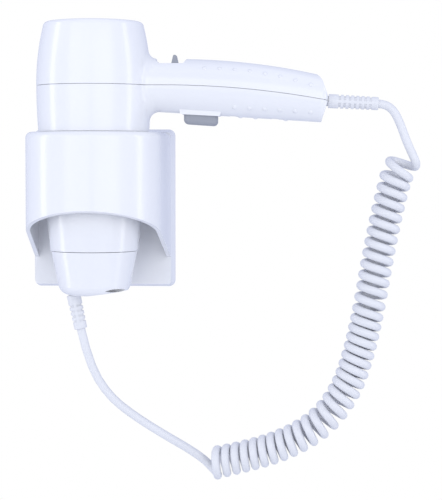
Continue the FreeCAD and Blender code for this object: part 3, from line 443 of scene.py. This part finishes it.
COIL_AXIS = [
    cord_point(224.2, 0.0, 36.8), cord_point(218.4, 0.2, 28.0), cord_point(215.0, 0.4, 14.4),
    cord_point(210.6, 0.6, -4.0), cord_point(204.2, 0.2, -36.5), cord_point(198.8, -0.8, -69.5),
    cord_point(191.5, -1.8, -103.0), cord_point(182.5, -2.6, -129.5),
    cord_point(166.5, -3.0, -152.0), cord_point(143.5, -2.6, -167.0),
    cord_point(116.0, -1.4, -177.2), cord_point(87.5, 0.0, -183.6),
]
UPPER_LEAD = [
    cord_point(203.8, 0.0, 76.56), cord_point(209.6, 0.0, 76.2), cord_point(215.8, 0.0, 71.6),
    cord_point(220.4, -1.0, 62.0), cord_point(224.4, -2.5, 50.5), cord_point(228.4, -4.0, 41.5),
    cord_point(231.6, -4.6, 34.5),
]
LOWER_LEAD = [
    cord_point(85.4, 8.0, -188.8), cord_point(78.6, 7.4, -181.8), cord_point(66.0, 5.0, -173.0),
    cord_point(50.0, 2.0, -163.4), cord_point(28.0, 0.4, -149.4), cord_point(9.5, -0.3, -134.6),
    cord_point(-4.6, 0.0, -111.0), cord_point(-10.4, 0.0, -84.9),
]
PITCH_TURNS = (0.0, 0.9, 1.6, 11.4, 12.6, 14.2, 21.0, 25.0, 29.0, 32.0, 37.0)
PITCH_SHARES = (1.9, 1.08, 1.0, 1.0, 1.12, 0.87, 0.88, 1.12, 0.92, 0.86, 0.9)
FIRST_TURN, LAST_TURN = 0.03, 37.05


class CoilAxis:
    """The line that the coil winds round, measured along its length."""

    def __init__(self, points, turns):
        self.line = np.array(line_of(points, "coil_axis"))
        steps = np.linalg.norm(np.diff(self.line, axis=0), axis=1)
        self.along = np.concatenate([[0.0], np.cumsum(steps)])
        fine = np.linspace(0.0, turns, 40 * turns + 1)
        pitch = np.interp(fine, PITCH_TURNS, PITCH_SHARES)
        travelled = np.concatenate([[0.0], np.cumsum((pitch[1:] + pitch[:-1]) / 2)])
        self.turns, self.travelled = fine, travelled / travelled[-1] * self.along[-1]

    def at(self, distance):
        return Vector([np.interp(distance, self.along, self.line[:, i]) for i in range(3)])

    def wound(self, turn, radius):
        """Point of the wire at that turn, counted from the outer side, front side last."""
        distance = float(np.interp(turn, self.turns, self.travelled))
        step = 0.002
        low, high = max(distance - step, 0.0), min(distance + step, self.along[-1])
        ahead = (self.at(high) - self.at(low)).normalized()
        back = Vector((0.0, 1.0, 0.0))
        back = (back - ahead * back.dot(ahead)).normalized()
        side = ahead.cross(back)
        angle = 2 * math.pi * turn
        return self.at(distance) + (side * math.cos(angle) + back * math.sin(angle)) * radius


def cord_line(sizes):
    """Control points of the whole cord: upper lead, every turn of the coil, lower lead."""
    axis = CoilAxis(COIL_AXIS, sizes.turns)
    inset = (6 + 2 * math.cos(2 * math.pi / sizes.turn_points)) / 8
    count = round((LAST_TURN - FIRST_TURN) * sizes.turn_points)
    coil = []
    for i in range(count + 1):
        turn = FIRST_TURN + (LAST_TURN - FIRST_TURN) * i / count
        loose = math.exp(-turn) + math.exp(turn - sizes.turns)
        radius = sizes.coil_radius * (1 + sizes.end_loosening * loose) / inset
        coil.append(axis.wound(min(turn, sizes.turns), radius)
                    if turn <= sizes.turns else axis.wound(turn, radius))
    return UPPER_LEAD + coil + LOWER_LEAD


class HAIRDRYER_OT_camera(bpy.types.Operator):
    """Set the camera that looks straight at the wall"""
    bl_idname = "hairdryer.camera"
    bl_label = "Camera"

    def execute(self, context):
        data = bpy.data.cameras.new("camera")
        data.lens = 118.7
        data.sensor_width = 36.0
        data.clip_end = 20.0
        camera = add_object("camera", data)
        camera.location = (0.160, -1.248, 0.0348)
        aim = Vector((0.092, AXIS_Y, -0.0286)) - camera.location
        camera.rotation_euler = aim.to_track_quat("-Z", "Y").to_euler()
        context.scene.camera = camera
        return {"FINISHED"}


class HAIRDRYER_OT_cord(bpy.types.Operator):
    """Wind the curly cord from the handset's gland to the holder's gland"""
    bl_idname = "hairdryer.cord"
    bl_label = "Curly cord"

    def execute(self, context):
        sizes = context.scene.dryer_cord
        points = cord_line(sizes)
        route = route_curve("cord_route", points, sizes.wire_radius)
        bpy.context.view_layer.update()
        cord = add_object("curly_cord", bpy.data.meshes.new_from_object(route))
        for face in cord.data.polygons:
            face.use_smooth = len(face.vertices) == 4
        bpy.data.objects.remove(route)
        path = line_of(points, "cord_path", 3)
        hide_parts("cord_upper_lead", "cord_coil", "cord_lower_lead")
        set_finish(cord, "cord_pvc")
        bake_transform(cord)
        return {"FINISHED"}


# ---- grip pips --------------------------------------------------------------------------------

def surface_hit(nodes, origin, direction):
    """Where a ray first meets one of those CAD nodes, and the surface's normal there."""
    hits = []
    for name in nodes:
        found, place, normal, _face = frame["nodes"][name].ray_cast(origin, direction)
        if found:
            hits.append(((place - origin).length, place, normal))
    if not hits:
        raise RuntimeError(f"no surface for a pip at {tuple(origin)}")
    _far, place, normal = min(hits, key=lambda hit: hit[0])
    return place, normal


def add_pip(mesh, place, normal, radius, height):
    """A shallow dome on the surface."""
    turn = normal.to_track_quat("Z", "Y").to_matrix().to_4x4()
    frame_there = Matrix.Translation(place) @ turn
    rings, around = 4, 14
    sunk = -0.0002
    last = None
    for ring in range(rings + 1):
        angle = math.pi / 2 * ring / rings
        across, up = radius * math.cos(angle), height * math.sin(angle)
        if ring == 0:
            up = sunk
        if ring == rings:
            top = mesh.verts.new(frame_there @ Vector((0.0, 0.0, height)))
            for i in range(around):
                mesh.faces.new((last[i], last[(i + 1) % around], top))
            return
        circle = [mesh.verts.new(frame_there @ Vector((
            across * math.cos(2 * math.pi * i / around),
            across * math.sin(2 * math.pi * i / around), up))) for i in range(around)]
        if last:
            for i in range(around):
                following = (i + 1) % around
                mesh.faces.new((last[i], last[following], circle[following], circle[i]))
        last = circle


class HAIRDRYER_OT_grip(bpy.types.Operator):
    """Set the rows of raised pips along both sides of the handle"""
    bl_idname = "hairdryer.grip"
    bl_label = "Grip pips"

    def execute(self, context):
        sizes = context.scene.dryer_grip
        mesh = bmesh.new()
        upper = [(0.0808 + sizes.pip_pitch * i, 0.1014 - 0.00024 * i * i) for i in range(8)]
        lower = [(0.102 + sizes.pip_pitch * i, 0.0737 - 0.0007 * i) for i in range(6)]
        for x, z in upper + lower:
            for side in (-1, 1):
                origin = Vector((x, AXIS_Y + side * 0.1, z))
                place, normal = surface_hit(("rear_shell", "front_shell"), origin,
                                            Vector((0.0, -side, 0.0)))
                add_pip(mesh, place, normal, sizes.pip_radius, sizes.pip_height)
        for i in range(4):
            x = 0.106 + sizes.pip_pitch * i
            if abs(x - 0.131) > 0.004:
                place, normal = surface_hit(("front_shell",), Vector((x, AXIS_Y, 0.0)),
                                            Vector((0.0, 0.0, 1.0)))
                add_pip(mesh, place, normal, sizes.pip_radius, sizes.pip_height)
        data = bpy.data.meshes.new("grip_pips")
        bmesh.ops.recalc_face_normals(mesh, faces=mesh.faces)
        mesh.to_mesh(data)
        mesh.free()
        for face in data.polygons:
            face.use_smooth = True
        pips = add_object("grip_pips", data)
        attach(pips, "handset")
        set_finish(pips, "gloss_white")
        return {"FINISHED"}


# ---- finishes on every piece ------------------------------------------------------------------

class HAIRDRYER_OT_finishes(bpy.types.Operator):
    """Give every piece its finish"""
    bl_idname = "hairdryer.finishes"
    bl_label = "Finishes"

    def execute(self, context):
        finishes = all_finishes(context.scene.dryer_finish)
        for part in frame["record"]["subparts"]:
            self.dress(frame["nodes"][part["node"]], finishes[part["material_slot"]])
        for name in ("curly_cord", "grip_pips"):
            piece = bpy.data.objects[name]
            self.dress(piece, finishes[piece["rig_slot"]])
        return {"FINISHED"}

    def dress(self, piece, material):
        piece.data.materials.clear()
        piece.data.materials.append(material)


# ---- stage ------------------------------------------------------------------------------------

def soft_light(name, place, target, width, height, power, colour):
    data = bpy.data.lights.new(name, "AREA")
    data.shape = "RECTANGLE"
    data.size, data.size_y = width, height
    data.energy = power
    data.color = colour
    light = add_object(name, data)
    light.location = place
    aim = Vector(target) - Vector(place)
    light.rotation_euler = aim.to_track_quat("-Z", "Y").to_euler()
    return light


class HAIRDRYER_OT_stage(bpy.types.Operator):
    """Lay a plain pale floor and light it softly"""
    bl_idname = "hairdryer.stage"
    bl_label = "Floor and light"

    def execute(self, context):
        studio = context.scene.dryer_studio
        level = CAD_BOX[0].z - studio.floor_drop
        mesh = bmesh.new()
        bmesh.ops.create_circle(mesh, cap_ends=True, segments=96, radius=1.3)
        data = bpy.data.meshes.new("floor")
        mesh.to_mesh(data)
        mesh.free()
        floor = add_object("floor", data)
        floor.location = (0.08, AXIS_Y, level)
        floor.data.materials.append(self.floor_finish())
        centre = (0.08, AXIS_Y, -0.02)
        for name, side in (("left", -1), ("right", 1)):
            soft_light(f"{name}_key", (0.08 + side * 0.62, -1.5, 0.35), centre, 1.24, 1.3,
                       studio.key_power, (1.0, 0.99, 0.84))
            soft_light(f"{name}_strip", (0.08 + side * 1.15, AXIS_Y - 0.15, 0.0), centre, 0.22,
                       1.5, studio.key_power * 0.5, (1.0, 0.99, 0.92))
        soft_light("top", (0.08, -0.35, 1.3), centre, 1.0, 1.0, studio.key_power * 0.25,
                   (1.0, 0.99, 0.96))
        self.light_room(context.scene, studio.sky)
        context.scene.view_settings.view_transform = "Standard"
        return {"FINISHED"}

    def floor_finish(self):
        graph = Graph("Pale floor")
        cloud = graph.noise(3.0, 4.0)
        tint = graph.between(cloud, (0.84, 0.85, 0.87), (0.88, 0.885, 0.90))
        return graph.finish(Base_Color=tint, Roughness=graph.span(cloud, 0.55, 0.65))

    def light_room(self, scene, sky):
        """White behind the object, and a soft bluish room for its light."""
        world = bpy.data.worlds.new("room")
        world.use_nodes = True
        tree = world.node_tree
        tree.nodes.clear()
        seen = tree.nodes.new("ShaderNodeLightPath")
        white = tree.nodes.new("ShaderNodeBackground")
        white.inputs["Color"].default_value = (1.0, 1.0, 1.0, 1.0)
        room = tree.nodes.new("ShaderNodeBackground")
        room.inputs["Color"].default_value = (*sky, 1.0)
        mix = tree.nodes.new("ShaderNodeMixShader")
        out = tree.nodes.new("ShaderNodeOutputWorld")
        tree.links.new(seen.outputs["Is Camera Ray"], mix.inputs["Fac"])
        tree.links.new(room.outputs["Background"], mix.inputs[1])
        tree.links.new(white.outputs["Background"], mix.inputs[2])
        tree.links.new(mix.outputs["Shader"], out.inputs["Surface"])
        scene.world = world


# ---- panel and start --------------------------------------------------------------------------

class HAIRDRYER_PT_panel(bpy.types.Panel):
    """Lists the pieces and their settings"""
    bl_idname = "HAIRDRYER_PT_panel"
    bl_label = "Hair Dryer"
    bl_space_type = "VIEW_3D"
    bl_region_type = "UI"
    bl_category = "Hair Dryer"

    def draw(self, context):
        for group in SETTINGS:
            settings = getattr(context.scene, group)
            for name in settings.__annotations__:
                self.layout.prop(settings, name)
        for operator in OPERATORS:
            self.layout.operator(operator.bl_idname)


SETTINGS = {
    "dryer_cord": CordSettings, "dryer_grip": GripSettings, "dryer_finish": FinishSettings,
    "dryer_studio": StudioSettings,
}
OPERATORS = (HAIRDRYER_OT_camera, HAIRDRYER_OT_cord, HAIRDRYER_OT_grip, HAIRDRYER_OT_finishes,
             HAIRDRYER_OT_stage)


def register():
    for kind in (*SETTINGS.values(), *OPERATORS, HAIRDRYER_PT_panel):
        bpy.utils.register_class(kind)
    for name, kind in SETTINGS.items():
        setattr(bpy.types.Scene, name, PointerProperty(type=kind))


def unregister():
    for name in SETTINGS:
        delattr(bpy.types.Scene, name)
    for kind in reversed((*SETTINGS.values(), *OPERATORS, HAIRDRYER_PT_panel)):
        bpy.utils.unregister_class(kind)


def main():
    register()
    bpy.ops.hairdryer.camera()
    bpy.ops.hairdryer.cord()
    bpy.ops.hairdryer.grip()
    bpy.ops.hairdryer.finishes()
    bpy.ops.hairdryer.stage()


if __name__ == "__main__":
    main()
